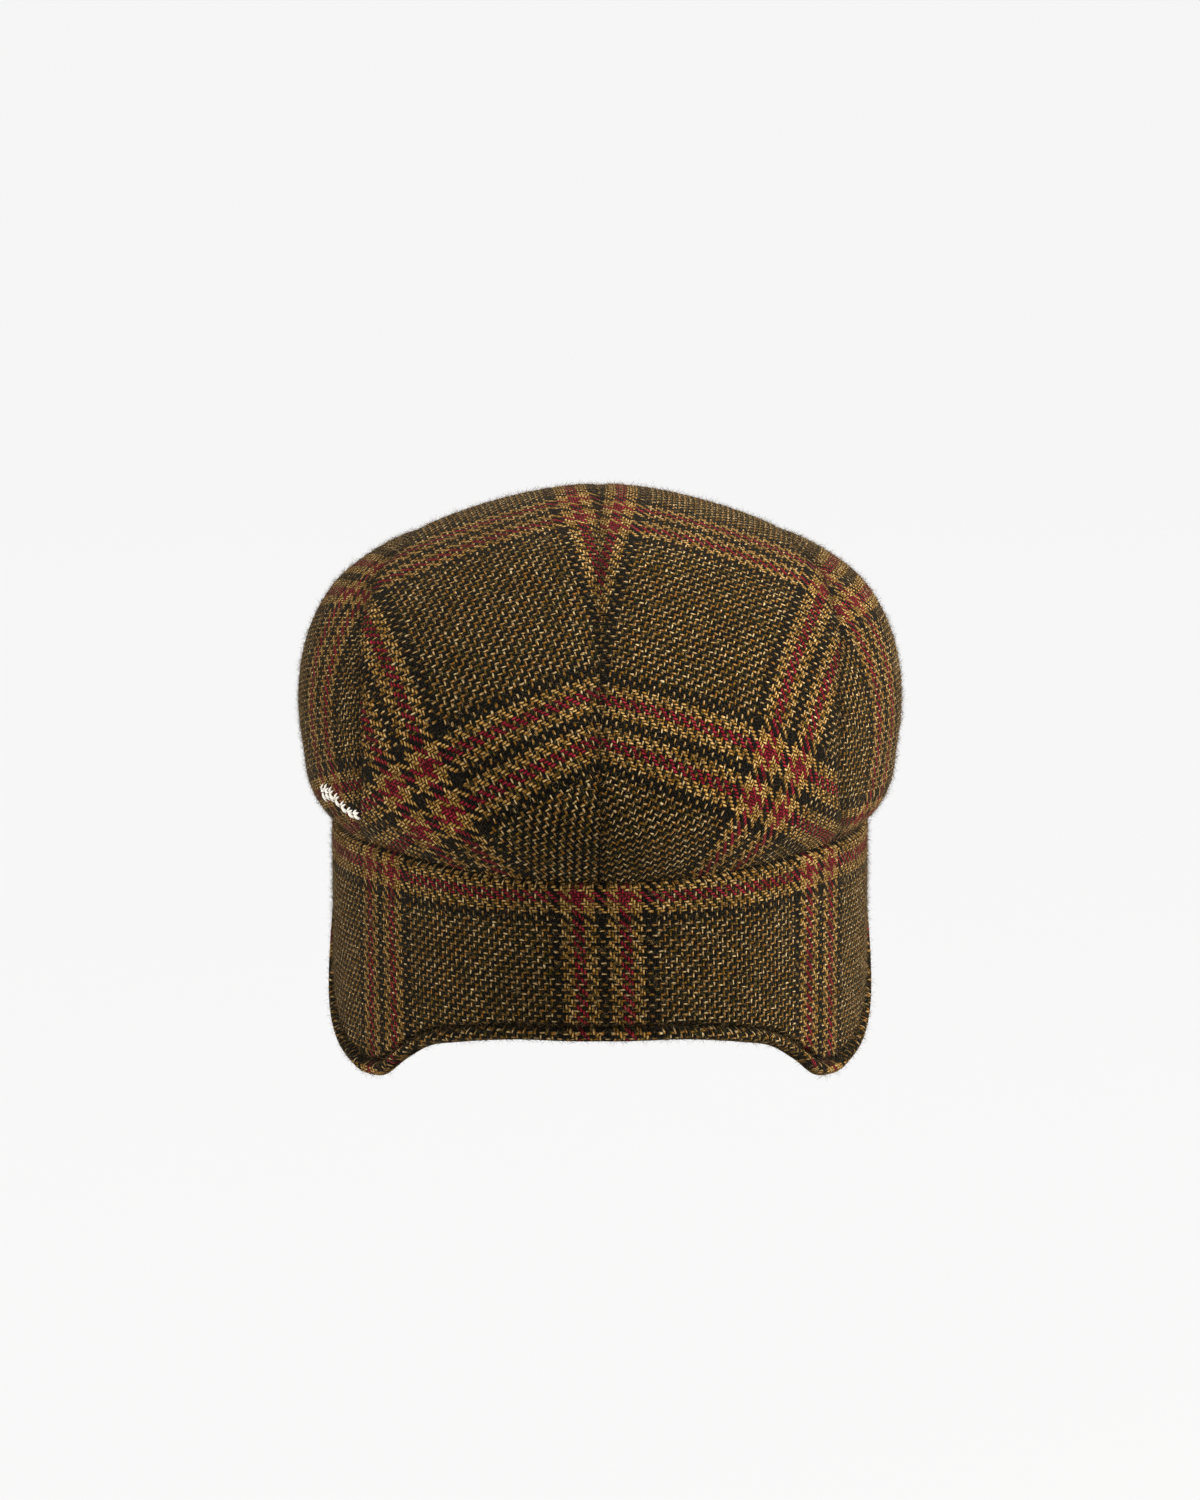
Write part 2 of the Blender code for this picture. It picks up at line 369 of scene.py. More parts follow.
def laid_flat(surface, start, rounds=40):
    """Flat places for a curved grid of cloth, with every small triangle kept as nearly its true size and
    shape as the others allow: each round turns every triangle to fit its neighbours, then solves for the
    places that agree best with all the turned triangles."""
    rows, columns = surface.shape[:2]
    index = np.arange(rows * columns).reshape(rows, columns)
    a, b = index[:-1, :-1].ravel(), index[1:, :-1].ravel()
    c, d = index[1:, 1:].ravel(), index[:-1, 1:].ravel()
    triangles = np.concatenate([np.stack([a, b, c], 1), np.stack([a, c, d], 1)])
    points = surface.reshape(-1, 3)
    flat = start.reshape(-1, 2).copy()
    one = points[triangles[:, 1]] - points[triangles[:, 0]]
    two = points[triangles[:, 2]] - points[triangles[:, 0]]
    length = np.maximum(np.linalg.norm(one, axis=1), 1e-9)
    first = one / length[:, None]
    normal = np.cross(one, two)
    area = np.maximum(np.linalg.norm(normal, axis=1), 1e-12)
    second = np.cross(normal / area[:, None], first)
    x1, x2, y2 = length, (two * first).sum(1), (two * second).sum(1)
    real = y2 > 1e-6
    y2 = np.maximum(y2, 1e-6)
    slope_one = np.stack([1 / x1, -x2 / (x1 * y2)], 1)
    slope_two = np.stack([np.zeros_like(x1), 1 / y2], 1)
    slopes = np.stack([-slope_one - slope_two, slope_one, slope_two], 1)
    weight = np.where(real, area / 2, 0)
    size = len(points)
    matrix = np.zeros((size, size))
    pair = np.einsum("t,tid,tjd->tij", weight, slopes, slopes)
    np.add.at(matrix, (triangles[:, :, None], triangles[:, None, :]), pair)
    matrix += np.eye(size) * matrix.trace() / size * 1e-9
    solve = np.linalg.inv(matrix)
    for _ in range(rounds):
        stretch = np.einsum("tia,tib->tab", flat[triangles], slopes)
        angle = np.arctan2(stretch[:, 1, 0] - stretch[:, 0, 1], stretch[:, 0, 0] + stretch[:, 1, 1])
        cos, sin = np.cos(angle), np.sin(angle)
        turned = np.stack([np.stack([cos, -sin], 1), np.stack([sin, cos], 1)], 1)
        pushed = np.zeros((size, 2))
        np.add.at(pushed, triangles, np.einsum("t,tab,tib->tia", weight, turned, slopes))
        flat = solve @ pushed
    return flat.reshape(rows, columns, 2)


def spread_over(coarse, rows, columns):
    """Values of a coarse grid read on a finer one over the same square, straight between its points."""
    high, wide = coarse.shape[0] - 1, coarse.shape[1] - 1
    r = np.linspace(0, high, rows)
    c = np.linspace(0, wide, columns)
    r0 = np.minimum(r.astype(int), high - 1)
    c0 = np.minimum(c.astype(int), wide - 1)
    fr = (r - r0)[:, None, None]
    fc = (c - c0)[None, :, None]
    return (
        coarse[r0][:, c0] * (1 - fr) * (1 - fc)
        + coarse[r0 + 1][:, c0] * fr * (1 - fc)
        + coarse[r0][:, c0 + 1] * (1 - fr) * fc
        + coarse[r0 + 1][:, c0 + 1] * fr * fc
    )


GRAIN_UNIT = 0.05  # metres


def on_grain(away, rows):
    """Thread counts at flat places. Each row gives one count as a start, a change across and a change up
    for each GRAIN_UNIT, and three bends that the pressing of the dome has left: across squared, across
    times held and held squared, where held is the hyperbolic tangent of up."""
    x = away[..., 0] / GRAIN_UNIT
    y = away[..., 1] / GRAIN_UNIT
    held = np.tanh(y)
    parts = np.stack([np.ones_like(x), x, y, x * x, x * held, held * held], axis=-1)
    return parts @ np.array(rows).T


# Building the meshes


def cloth_mesh(name, surface, threads, shade, wall=0.0, mirrored=False, turned=False):
    """A piece on a grid of points, thickened inwards. One UV map holds its thread counts. The other holds,
    in both of its numbers, the painted shade at each point, from 0 to 1: how much the cloth's colour is
    darkened in creases and under the crown's rim, where shade falls."""
    rows, columns = surface.shape[:2]
    points = surface.reshape(-1, 3).copy()
    if mirrored:
        points[:, 0] *= -1
    index = np.arange(rows * columns).reshape(rows, columns)
    corners = [index[:-1, :-1], index[1:, :-1], index[1:, 1:], index[:-1, 1:]]
    faces = np.stack(corners, axis=-1).reshape(-1, 4)
    if mirrored != turned:
        faces = faces[:, ::-1]
    mesh = bpy.data.meshes.new(name)
    mesh.vertices.add(len(points))
    mesh.vertices.foreach_set("co", points.astype(np.float32).ravel())
    mesh.loops.add(faces.size)
    mesh.loops.foreach_set("vertex_index", faces.ravel().astype(np.int32))
    mesh.polygons.add(len(faces))
    mesh.polygons.foreach_set("loop_start", np.arange(0, faces.size, 4, dtype=np.int32))
    mesh.update(calc_edges=True)
    layer = mesh.uv_layers.new(name="threads")
    layer.data.foreach_set("uv", threads.reshape(-1, 2)[faces.ravel()].astype(np.float32).ravel())
    both = np.stack([shade, shade], axis=-1).reshape(-1, 2)
    layer = mesh.uv_layers.new(name="painted_shade")
    layer.data.foreach_set("uv", both[faces.ravel()].astype(np.float32).ravel())
    mesh.shade_smooth()
    piece = bpy.data.objects.new(name, mesh)
    bpy.context.scene.collection.objects.link(piece)
    if wall:
        thicken = piece.modifiers.new("wall", "SOLIDIFY")
        thicken.thickness = wall
        thicken.offset = -1
    return piece


# The weave


class Nodes:
    """A short way to write shader nodes: each call makes one node and gives its first output."""

    def __init__(self, material):
        material.use_nodes = True
        self.tree = material.node_tree
        self.tree.nodes.clear()

    def put(self, kind, inputs=(), output=0, **settings):
        node = self.tree.nodes.new(kind)
        for key, value in settings.items():
            setattr(node, key, value)
        for slot, value in dict(inputs).items():
            if isinstance(value, bpy.types.NodeSocket):
                self.tree.links.new(value, node.inputs[slot])
            else:
                node.inputs[slot].default_value = value
        return node.outputs[output] if node.outputs else None

    def math(self, operation, a, b=0.0, c=0.0):
        return self.put("ShaderNodeMath", {0: a, 1: b, 2: c}, operation=operation)

    def mix(self, share, a, b):
        """A mix of two colours, whose sockets are numbers 6 and 7 of the node, and 2 of its outputs."""
        return self.put("ShaderNodeMix", {0: share, 6: a, 7: b}, output=2, data_type="RGBA")

    def noise(self, place, scale, detail=2.0):
        return self.put("ShaderNodeTexNoise", {"Vector": place, "Scale": scale, "Detail": detail})


def colour(red, green, blue):
    return (red, green, blue, 1.0)


# Yarn colours as linear light. Each yarn is spun from several tones, read from a noise along it.
DARK_TONES = (
    (0.40, colour(0.0030, 0.0030, 0.0034)),
    (0.52, colour(0.0090, 0.0080, 0.0060)),
    (0.62, colour(0.0340, 0.0360, 0.0150)),
)
LIGHT_TONES = (
    (0.39, colour(0.024, 0.029, 0.004)),
    (0.44, colour(0.120, 0.115, 0.012)),
    (0.49, colour(0.430, 0.125, 0.007)),
    (0.54, colour(0.290, 0.150, 0.026)),
    (0.60, colour(0.830, 0.640, 0.330)),
)
BLACK_TONES = (
    (0.42, colour(0.0025, 0.0025, 0.0028)),
    (0.64, colour(0.0170, 0.0150, 0.0100)),
)
TAN_TONES = (
    (0.40, colour(0.130, 0.064, 0.009)),
    (0.50, colour(0.510, 0.240, 0.032)),
    (0.60, colour(0.900, 0.590, 0.230)),
)
RED_TONES = (
    (0.40, colour(0.100, 0.002, 0.008)),
    (0.51, colour(0.290, 0.006, 0.022)),
    (0.62, colour(0.480, 0.035, 0.055)),
)


def tones(n, value, rows):
    """A colour read from rows of place and colour."""
    node = n.tree.nodes.new("ShaderNodeValToRGB")
    ramp = node.color_ramp
    for place, tint in rows[2:]:
        ramp.elements.new(place)
    for element, (place, tint) in zip(ramp.elements, rows):
        element.position = place
        element.color = tint
    n.tree.links.new(value, node.inputs[0])
    return node.outputs[0]


def yarn_colour(n, number, spun):
    """The colour of the yarn with a whole number: stripes of four threads in the order black, tan, red,
    tan, black, tan, red, tan, black at the start of each repeat, then dark and light in turn."""
    place = n.math("ADD", n.math("FLOORED_MODULO", number, REPEAT), 0.5)
    stripe = n.math("FLOOR", n.math("DIVIDE", place, STRIPE))
    is_light = n.math("GREATER_THAN", n.math("FLOORED_MODULO", number, 2.0), 0.5)
    ground = n.mix(is_light, tones(n, spun, DARK_TONES), tones(n, spun, LIGHT_TONES))
    is_tan = n.math("GREATER_THAN", n.math("FLOORED_MODULO", stripe, 2.0), 0.5)
    is_red = n.math("COMPARE", n.math("FLOORED_MODULO", stripe, 4.0), 2.0, 0.5)
    dark_stripe = n.mix(is_red, tones(n, spun, BLACK_TONES), tones(n, spun, RED_TONES))
    striped = n.mix(is_tan, dark_stripe, tones(n, spun, TAN_TONES))
    in_stripes = n.math("LESS_THAN", place, float(STRIPE * STRIPES))
    return n.mix(in_stripes, ground, striped)


def stretched_noise(n, place, scales, detail=2.0):
    """Noise that is drawn out along a yarn."""
    drawn = n.put("ShaderNodeVectorMath", {0: place, 1: scales}, operation="MULTIPLY")
    return n.noise(drawn, 1.0, detail)


def hump(n, x, power):
    """1 in the middle of the span from 0 to 1 and 0 at its ends: 1 - (2x - 1)², to a power."""
    half = n.math("MULTIPLY_ADD", x, 2.0, -1.0)
    arch = n.math("SUBTRACT", 1.0, n.math("MULTIPLY", half, half))
    return n.math("POWER", n.math("MAXIMUM", arch, 0.0), power)


ACROSS_YARN = 1.9  # changes of tone for each thread across a yarn
ALONG_YARN = 0.42  # and along it
YARN_POWER = 0.7  # a yarn's roundness across
FLOAT_POWER = 0.45  # how suddenly a float dives at its ends
# Painted shade: the most that the colour is darkened in creases and under the crown's rim
PAINTED_SHADE_STRENGTH = 0.75


def tweed(name, tone):
    """Twill of two over and two under, read from the thread counts. The warp lies on top where the sum of
    the two thread numbers, counted in fours, is 0 or 1. Each yarn is round across and dives at the ends of
    its float. Painted shade darkens the colour in the weave's depths and lightens it on the yarns' tops,
    and painted shade darkens it in creases, in the flap's groove and under the crown's rim."""
    material = bpy.data.materials.new(name)
    n = Nodes(material)
    threads = n.put("ShaderNodeUVMap", uv_map="threads")
    where = n.put("ShaderNodeTexCoord", output=3)
    wobble = n.put("ShaderNodeTexNoise", {"Vector": threads, "Scale": 0.9, "Detail": 1.0}, output=1)
    shift = n.put("ShaderNodeVectorMath", {0: wobble, 1: (0.5, 0.5, 0.5)}, operation="SUBTRACT")
    shift = n.put("ShaderNodeVectorMath", {0: shift, 3: YARN_WANDER}, operation="SCALE")
    moved = n.put("ShaderNodeVectorMath", {0: threads, 1: shift}, operation="ADD")
    u = n.put("ShaderNodeSeparateXYZ", {0: moved})
    v = u.node.outputs[1]
    i = n.math("FLOOR", u)
    j = n.math("FLOOR", v)
    across = n.math("FRACT", u)
    along = n.math("FRACT", v)
    count = n.math("FLOORED_MODULO", n.math("ADD", n.math("ADD", i, j), 0.5), 4.0)
    warp_up = n.math("LESS_THAN", count, 2.0)
    warp = yarn_colour(n, i, stretched_noise(n, threads, (ACROSS_YARN, ALONG_YARN, 1.0), 3.0))
    weft = yarn_colour(n, j, stretched_noise(n, threads, (ALONG_YARN, ACROSS_YARN, 1.0), 3.0))
    base = n.mix(warp_up, weft, warp)

    second = n.math("FLOORED_MODULO", n.math("FLOOR", count), 2.0)
    warp_long = hump(n, n.math("MULTIPLY", n.math("ADD", along, second), 0.5), FLOAT_POWER)
    weft_long = hump(n, n.math("MULTIPLY", n.math("ADD", across, second), 0.5), FLOAT_POWER)
    warp_height = n.math("MULTIPLY", hump(n, across, YARN_POWER), warp_long)
    weft_height = n.math("MULTIPLY", hump(n, along, YARN_POWER), weft_long)
    height = n.put("ShaderNodeMix", {0: warp_up, 2: weft_height, 3: warp_height})
    hair = n.put("ShaderNodeTexNoise", {"Vector": where, "Scale": 2400.0, "Detail": 1.5, "Roughness": 0.7})
    height = n.math("MULTIPLY_ADD", hair, HAIR_HEIGHT, height)
    # Painted shade in the weave: the colour is darkened where yarns and hairs lie deep and lightened on
    # their tops
    painted_weave_shade = n.put("ShaderNodeMapRange", {0: height, 1: 0.50, 2: 1.20, 3: 0.02, 4: 1.55})
    heather = n.put("ShaderNodeMapRange", {0: n.noise(where, 95.0, 2.0), 1: 0.3, 2: 0.7, 3: 0.82, 4: 1.18})
    # Painted shade from the second UV map darkens the colour in seam creases, the flap's groove and under
    # the crown's rim
    painted_shade = n.put("ShaderNodeSeparateXYZ", {0: n.put("ShaderNodeUVMap", uv_map="painted_shade")})
    painted_shade_factor = n.math("MULTIPLY_ADD", painted_shade, -PAINTED_SHADE_STRENGTH, 1.0)
    strength = n.math("MULTIPLY", n.math("MULTIPLY", n.math("MULTIPLY", painted_weave_shade, heather), tone), painted_shade_factor)
    toned = n.put("ShaderNodeVectorMath", {0: base, 3: strength}, operation="SCALE")
    bump = n.put("ShaderNodeBump", {"Strength": 0.9, "Distance": 0.00045, "Height": height})
    shader = n.put(
        "ShaderNodeBsdfPrincipled",
        {
            "Base Color": toned,
            "Roughness": 0.95,
            "Specular IOR Level": 0.04,
            "Sheen Weight": 0.05,
            "Sheen Roughness": 0.5,
            "Sheen Tint": colour(0.75, 0.58, 0.38),
            "Normal": bump,
        },
    )
    n.put("ShaderNodeOutputMaterial", {0: shader})
    return material


def plain(name, tint, roughness=0.9, glow=0.0):
    """One colour all over, with a white glow for the studio's paper."""
    material = bpy.data.materials.new(name)
    n = Nodes(material)
    inputs = {
        "Base Color": tint,
        "Roughness": roughness,
        "Specular IOR Level": 0.1,
        "Emission Color": colour(1.0, 1.0, 1.0),
        "Emission Strength": glow,
    }
    shader = n.put("ShaderNodeBsdfPrincipled", inputs)
    n.put("ShaderNodeOutputMaterial", {0: shader})
    return material


def hair_wool(name):
    """Loose hairs: each patch of them has its own tone, from olive brown to cream."""
    material = bpy.data.materials.new(name)
    n = Nodes(material)
    where = n.put("ShaderNodeTexCoord", output=3)
    base = tones(n, n.noise(where, 700.0, 2.0), HAIR_TONES)
    shader = n.put(
        "ShaderNodeBsdfPrincipled",
        {"Base Color": base, "Roughness": 0.8, "Specular IOR Level": 0.2},
    )
    n.put("ShaderNodeOutputMaterial", {0: shader})
    return material


HAIR_TONES = (
    (0.36, colour(0.008, 0.007, 0.004)),
    (0.46, colour(0.040, 0.028, 0.008)),
    (0.54, colour(0.120, 0.066, 0.018)),
    (0.64, colour(0.270, 0.185, 0.085)),
)


# Loose hairs

HAIRS_PER_PIECE = 12000
HAIR_WIDTH = 0.00008
HAIR_SHORTEST = 0.0008
HAIR_LONGEST = 0.0027
HAIR_RISE = (0.12, 0.9)  # lean: least and most rise for a step of 1 aside
HAIR_BEND = (0.1, 0.5)
HAIR_TAPER = 0.8


def unit(vectors):
    return vectors / np.maximum(np.linalg.norm(vectors, axis=-1, keepdims=True), 1e-12)


def hairs_on(place, count, rng, mirrored=False):
    """Corner points of narrow curved ribbons that stand on a grid of cloth, four crosswise pairs to a hair.
    Each starts at a random place and runs as course times t plus bend times t², with t from 0 to 1."""
    down = place[1:, :-1] - place[:-1, :-1]
    over = place[:-1, 1:] - place[:-1, :-1]
    normal = np.cross(down, over)
    area = np.linalg.norm(normal, axis=-1).ravel()
    pick = np.searchsorted(np.cumsum(area), rng.random(count) * area.sum())
    row, column = np.unravel_index(np.minimum(pick, area.size - 1), down.shape[:2])
    shares = rng.random((2, count, 1))
    root = place[row, column] + shares[0] * down[row, column] + shares[1] * over[row, column]
    out = unit(normal[row, column])
    aside = unit(np.cross(out, rng.normal(size=(count, 3))))
    rise = rng.uniform(*HAIR_RISE, (count, 1))
    course = unit(rise * out + aside)
    bend = unit(np.cross(course, rng.normal(size=(count, 3)))) * rng.uniform(*HAIR_BEND, (count, 1))
    length = rng.uniform(HAIR_SHORTEST, HAIR_LONGEST, (count, 1))
    width = unit(np.cross(course, rng.normal(size=(count, 3)))) * HAIR_WIDTH / 2
    t = np.array([0.0, 0.35, 0.7, 1.0])[None, :, None]
    line = root[:, None] + length[:, None] * (course[:, None] * t + bend[:, None] * t**2)
    half = width[:, None] * (1 - HAIR_TAPER * t)
    points = np.stack([line - half, line + half], axis=2)
    if mirrored:
        points = points * (-1, 1, 1)
    return points


def ribbons(name, points, material):
    """One piece of many ribbons, from arrays of crosswise pairs of points."""
    count, steps = points.shape[:2]
    index = np.arange(points.size // 3).reshape(count, steps, 2)
    corners = [index[:, :-1, 0], index[:, :-1, 1], index[:, 1:, 1], index[:, 1:, 0]]
    faces = np.stack(corners, axis=-1)
    return mesh_piece(name, points.reshape(-1, 3), faces.reshape(-1, 4), material)


def mesh_piece(name, points, faces, material):
    """A piece from arrays of points and of four-cornered faces."""
    mesh = bpy.data.meshes.new(name)
    mesh.vertices.add(len(points))
    mesh.vertices.foreach_set("co", points.astype(np.float32).ravel())
    mesh.loops.add(faces.size)
    mesh.loops.foreach_set("vertex_index", faces.ravel().astype(np.int32))
    mesh.polygons.add(len(faces))
    mesh.polygons.foreach_set("loop_start", np.arange(0, faces.size, faces.shape[1], dtype=np.int32))
    mesh.update(calc_edges=True)
    mesh.shade_smooth()
    mesh.materials.append(material)
    piece = bpy.data.objects.new(name, mesh)
    bpy.context.scene.collection.objects.link(piece)
    return piece


# Sewing thread

STITCH_LENGTH = 0.0026
STITCH_SHARE = 0.62  # of a stitch's length that shows
STITCH_RADIUS = 0.00022
STITCH_ARCH = 1.3  # rise of a stitch's middle above its ends, in radii
STITCH_SINK = 0.5  # depth of its ends in the cloth, in radii
STITCH_LIFT = 0.00035  # of the flap's stitches, out of the bottom of their groove


def stitches(name, starts, ends, out, radius, material):
    """Small arched tubes from start to end points. With arch 4t(1 - t), the radius goes by its square root,
    so that both ends close to a point, and the rise goes by the arch."""
    rings, sides = 7, 6
    t = np.linspace(0, 1, rings)[None, :, None]
    arch = 4 * t * (1 - t)
    course = unit(ends - starts)
    cross = unit(np.cross(course, out))
    rise = out[:, None] * radius * (STITCH_ARCH * arch - STITCH_SINK)
    middle = starts[:, None] * (1 - t) + ends[:, None] * t + rise
    turn = np.linspace(0, 2 * math.pi, sides, endpoint=False)[None, None, :, None]
    around = np.cos(turn) * cross[:, None, None] + np.sin(turn) * out[:, None, None]
    points = middle[:, :, None] + around * (radius * np.sqrt(arch))[:, :, None]
    count = len(starts)
    index = np.arange(count * rings * sides).reshape(count, rings, sides)
    ahead = np.roll(index, -1, axis=2)
    faces = np.stack([index[:, :-1], ahead[:, :-1], ahead[:, 1:], index[:, 1:]], axis=-1)
    return mesh_piece(name, points.reshape(-1, 3), faces.reshape(-1, 4), material)


def grid_normals(place):
    """Outward directions of a grid: the cross product of its steps down and along."""
    return unit(np.cross(np.gradient(place, axis=0), np.gradient(place, axis=1)))


def flap_stitches(place, column, material):
    """The row of stitches that runs in the groove along the flap's lower edge."""
    line = place[:, column]
    out = grid_normals(place)[:, column]
    way = np.concatenate([[0], np.cumsum(np.linalg.norm(np.diff(line, axis=0), axis=1))])
    starts = np.arange(STITCH_LENGTH, way[-1] - STITCH_LENGTH, STITCH_LENGTH)

    def along(values, at):
        return np.stack([np.interp(at, way, values[:, axis]) for axis in range(3)], axis=-1)

    ends = starts + STITCH_LENGTH * STITCH_SHARE
    normal = unit(along(out, (starts + ends) / 2))
    lift = STITCH_LIFT * normal
    first = along(line, starts) + lift
    last = along(line, ends) + lift
    return stitches("flap_stitches", first, last, normal, STITCH_RADIUS, material)


# The embroidered sprig on the wearer's left: a stem with leaves to both sides
SPRIG_STEM = 7  # stitches in the stem
SPRIG_WAVE = 0.10  # of the stem, as a share of its length
SPRIG_TURNS = (68.25, 53.25)  # degrees from the back, front end and rear end
SPRIG_SHARES = (0.897, 0.912)  # share of the way from summit to rim, there
SPRIG_HEIGHT = 0.10  # share of that way for a step of 1 up
SPRIG_RADIUS = 0.00036
SPRIG_LIFT = 0.0002
LEAF_LENGTH = 0.09
LEAF_TAPER = 0.45  # how much shorter the last leaves reach
# Leaves from each joint: side, reach, and shift along the stem
LEAVES = ((1, 0.22, 0.02), (-1, 0.20, 0.02), (1, 0.14, 0.055), (-1, 0.12, 0.055))


def sprig(material):
    """Stem stitches end to end along one wave of a sine, and slanting leaf stitches from its joints."""
    at = np.linspace(0, 1, SPRIG_STEM + 1)
    joint = np.stack([at, SPRIG_WAVE * np.sin(2 * math.pi * at)], axis=-1)
    starts = [joint[:-1]]
    ends = [joint[1:]]
    for side, reach, shift in LEAVES:
        root = joint[:-1] + (shift, 0)
        up = side * reach * (1 - LEAF_TAPER * at[1:])
        starts.append(root)
        ends.append(root + np.stack([0 * up + LEAF_LENGTH, up], axis=-1))
    starts = np.concatenate(starts)
    ends = np.concatenate(ends)

    def on_cap(points):
        along, up = points[:, 0], points[:, 1]
        turn = np.radians(SPRIG_TURNS[0] + (SPRIG_TURNS[1] - SPRIG_TURNS[0]) * along)
        share = SPRIG_SHARES[0] + (SPRIG_SHARES[1] - SPRIG_SHARES[0]) * along - SPRIG_HEIGHT * up
        p, q = share * np.sin(turn), -share * np.cos(turn)
        out = crown_normal(p, q)
        return (crown_point(p, q) + SPRIG_LIFT * out) * (-1, 1, 1), out * (-1, 1, 1)

    first, out = on_cap(starts)
    last, _ = on_cap(ends)
    return stitches("sprig", first, last, out, SPRIG_RADIUS, material)


# The crown


def nearest(disk, spot):
    """The grid place whose disk point is nearest to a spot."""
    gap = np.hypot(disk[..., 0] - spot[0], disk[..., 1] - spot[1])
    return np.unravel_index(gap.argmin(), gap.shape)


FLAT_GRID = (22, 60)
FLAT_START = 0.13  # metres for the disk's radius, in the first guess of the flat cloth
UP_STEP = 0.12  # on the disk


def panel_flat(disk_maker, anchor):
    """A +X crown panel laid flat on a coarse grid about its anchor place, with the direction from there
    towards the front as up."""
    disk = disk_maker(*FLAT_GRID)
    flat = laid_flat(crown_point(disk[..., 0], disk[..., 1]), disk * FLAT_START)
    at = nearest(disk, anchor)
    to = nearest(disk, (anchor[0], anchor[1] + UP_STEP))
    up = flat[to] - flat[at]
    up = up / np.linalg.norm(up)
    away = flat - flat[at]
    return np.stack([away[..., 0] * up[1] - away[..., 1] * up[0], away @ up], axis=-1)


TOP_GRID = (70, 200)
SIDE_GRID = (56, 200)


def crown_panel(name, disk, flat, grain, material, mirrored):
    """A crown panel's cloth, on disk points, with its thread counts read from its flat places."""
    surface = crown_surface(disk)
    if mirrored:
        flat = flat * (-1, 1)
    threads = spread_over(on_grain(flat, grain), *disk.shape[:2])
    away = seam_distance(disk[..., 0], disk[..., 1])
    # Painted shade along the seams, carried to the shader in the second UV map
    shade = SEAM_SHADE * np.exp(-((away / SEAM_GROOVE_REACH) ** 2))
    piece = cloth_mesh(name, surface, threads, shade, CROWN_WALL, mirrored)
    piece.data.materials.append(material)
    return piece


# The flap


def flap_place(turn, drop):
    """The flap's outside at a turn and a drop below the seam."""
    tuck = drop * math.tan(math.radians(FLAP_TUCK)) * np.clip(np.cos(turn), 0, 1) ** 2
    length = np.where(np.cos(turn) > 0, BAND_REAR, BAND_FRONT)
    x = BAND_HALF_WIDTH * np.sin(turn) * np.ones_like(drop)
    y = -length * np.cos(turn) + tuck
    return np.stack([x, y, -rim_drop(turn) - GAP - drop], axis=-1)


STITCH_UP = 0.0050  # the stitched line above the flap's edge
STITCH_GROOVE = 0.0018
STITCH_GROOVE_REACH = 0.0010
EDGE_PUFF = 0.0017
EDGE_ROUND = 0.0020
EDGE_ROUND_REACH = 0.0016
EDGE_PART = 0.0075  # depth of the finely divided part of the grid above the edge
RIM_PART = 0.0025  # and of the one below the seam
# Painted shade on the flap just under the crown's rim: its strength and reach
RIM_SHADE = 0.55
RIM_SHADE_REACH = 0.0028
FLAP_INSIDE_CROWN = 0.005  # how far the flap goes up behind the crown's rim
FLAP_SHELF = 0.0040  # how far in it lies there
SHELF_TOP = 0.0008  # above the seam, where it is fully in
SHELF_REACH = 0.0030
FLAP_COLUMNS = 361  # round the flap
RIM_ROWS = 15
MIDDLE_ROWS = 49
EDGE_ROWS = 30
FLAP_GRAIN_LEAN = 0.045  # sideways drift of the lengthwise threads, downwards
FLAP_CROSS_START = 14.9  # crosswise thread count at the back of the seam
FLAP_CROSS_SAG = 2.2  # threads more at the sides
FLAP_SAG_TURN = 40.0  # degrees from the back, where they are reached


